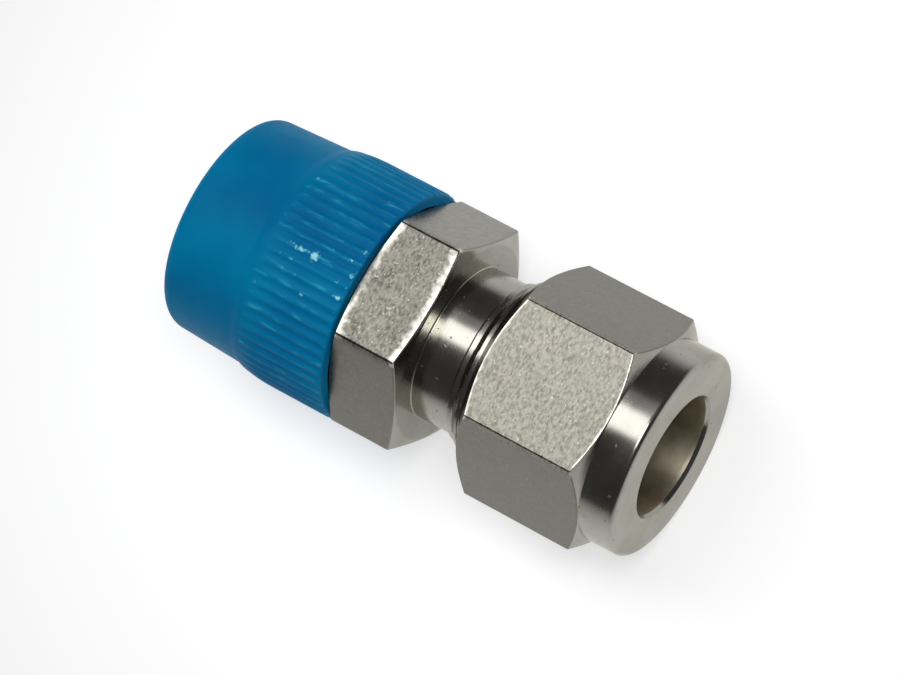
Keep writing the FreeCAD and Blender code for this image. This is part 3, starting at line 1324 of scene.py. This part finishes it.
@dataclass(frozen=True)
class Studio:
    """The pale floor under the fitting, soft lights, and the camera.

    Attributes:
        skirt_rest: station and radius where the cap's skirt touches the floor.
        nut_rest: station and radius where the nut's collar touches the floor.
        camera_spot: the camera's place in millimetres.
        camera_aim: a point on its axis.
        camera_roll: its turn about that axis, in degrees.
        lens: focal length in millimetres for a 36 mm sensor.
        floor_colour: the floor's own colour.
        floor_glow: how much it glows near the fitting and far from it.
        glow_middle: where the glow is strongest, in the floor's own coordinates, in metres.
        glow_reach: the distances between which the glow falls off, in metres.
        room_colour: what the fitting mirrors where there is no light or floor.
        backdrop_colour: what the camera sees beyond the floor.
    """

    skirt_rest: Point = (-10.35, 12.66)
    nut_rest: Point = (22.4, 11.0)
    camera_spot: tuple[float, float, float] = (151.70, -18.68, 418.03)
    camera_aim: tuple[float, float, float] = (-3.404, 0.0866, 0.0)
    camera_roll: float = -54.684
    lens: float = 180.0
    floor_colour: Colour = (0.55, 0.55, 0.55)
    floor_glow: Point = (0.61, 0.22)
    glow_middle: tuple[float, float, float] = (0.012, 0.012, 0.0)
    glow_reach: Point = (0.048, 0.14)
    room_colour: Colour = (0.07, 0.07, 0.075)
    backdrop_colour: Colour = (0.85, 0.85, 0.85)

    def make_floor(self) -> None:
        """Lays a wide floor through the two lines that the fitting rests on."""
        rise = self.skirt_rest[1] - self.nut_rest[1]
        tilt = math.atan2(rise, self.nut_rest[0] - self.skirt_rest[0])
        bpy.ops.object.select_all(action="DESELECT")
        bpy.ops.mesh.primitive_circle_add(vertices=96, radius=6.0, fill_type="NGON")
        floor = bpy.context.object
        floor.name = "studio_floor"
        floor.rotation_euler = (0.0, -tilt, 0.0)
        floor.location = Vector((self.skirt_rest[0], 0.0, -self.skirt_rest[1])) * MM
        n = Nodes("pale_floor")
        n.feed(n.shader, "Base Color", (*self.floor_colour, 1.0))
        n.feed(n.shader, "Roughness", 0.9)
        n.feed(n.shader, "Specular IOR Level", 0.1)
        n.feed(n.shader, "Emission Color", (1.0, 1.0, 1.0, 1.0))
        away = n.add("ShaderNodeVectorMath", operation="DISTANCE")
        n.feed(away, 0, n.place())
        n.feed(away, 1, self.glow_middle)
        glow = n.spread(away.outputs["Value"], *self.glow_reach, self.floor_glow)
        n.feed(n.shader, "Emission Strength", glow)
        floor.data.materials.append(n.material)

    def make_world(self) -> None:
        """Sets a dim room, with a pale backdrop where it is seen directly."""
        world = bpy.data.worlds.new("studio_room")
        bpy.context.scene.world = world
        world.use_nodes = True
        tree = world.node_tree
        tree.nodes.clear()
        output = tree.nodes.new("ShaderNodeOutputWorld")
        room = tree.nodes.new("ShaderNodeBackground")
        backdrop = tree.nodes.new("ShaderNodeBackground")
        room.inputs["Color"].default_value = (*self.room_colour, 1.0)
        backdrop.inputs["Color"].default_value = (*self.backdrop_colour, 1.0)
        mix = tree.nodes.new("ShaderNodeMixShader")
        path = tree.nodes.new("ShaderNodeLightPath")
        tree.links.new(path.outputs["Is Camera Ray"], mix.inputs[0])
        tree.links.new(room.outputs[0], mix.inputs[1])
        tree.links.new(backdrop.outputs[0], mix.inputs[2])
        tree.links.new(mix.outputs[0], output.inputs["Surface"])

    def make_camera(self) -> None:
        """Stands the camera where the photograph was taken from."""
        spot = Vector(self.camera_spot) * MM
        aim = Vector(self.camera_aim) * MM
        bpy.ops.object.camera_add(location=spot)
        camera = bpy.context.object
        camera.name = "photo_camera"
        camera.data.sensor_width = 36.0
        camera.data.lens = self.lens
        camera.data.clip_start = 0.01
        camera.data.clip_end = 20.0
        level = (aim - spot).to_track_quat("-Z", "Y")
        roll = Quaternion((0.0, 0.0, 1.0), math.radians(self.camera_roll))
        camera.rotation_mode = "QUATERNION"
        camera.rotation_quaternion = level @ roll
        bpy.context.scene.camera = camera

    def build(self) -> None:
        """Sets up the whole studio."""
        self.make_floor()
        self.make_world()
        for softbox in SOFTBOXES:
            softbox.hang()
        self.make_camera()
        bpy.context.scene.view_settings.view_transform = "Standard"


def main() -> None:
    """Builds the fitting, piece by piece, and the studio round it."""
    logging.basicConfig(level=logging.INFO)
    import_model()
    lathe = Lathe()
    turned = TurnedSteel().material()
    bored = BoredSteel().material()
    pieces = [
        ConnectorBody(lathe, turned, bored).build(),
        CompressionNut(lathe, turned, bored).build(),
        *FerruleSet(lathe, turned, bored).build(),
        ThreadProtector(MouldedPlastic().material()).build(),
    ]
    for piece in pieces:
        LOG.info("%s: %d faces", piece.name, len(piece.data.polygons))
    Studio().build()


if __name__ == "__main__":
    main()
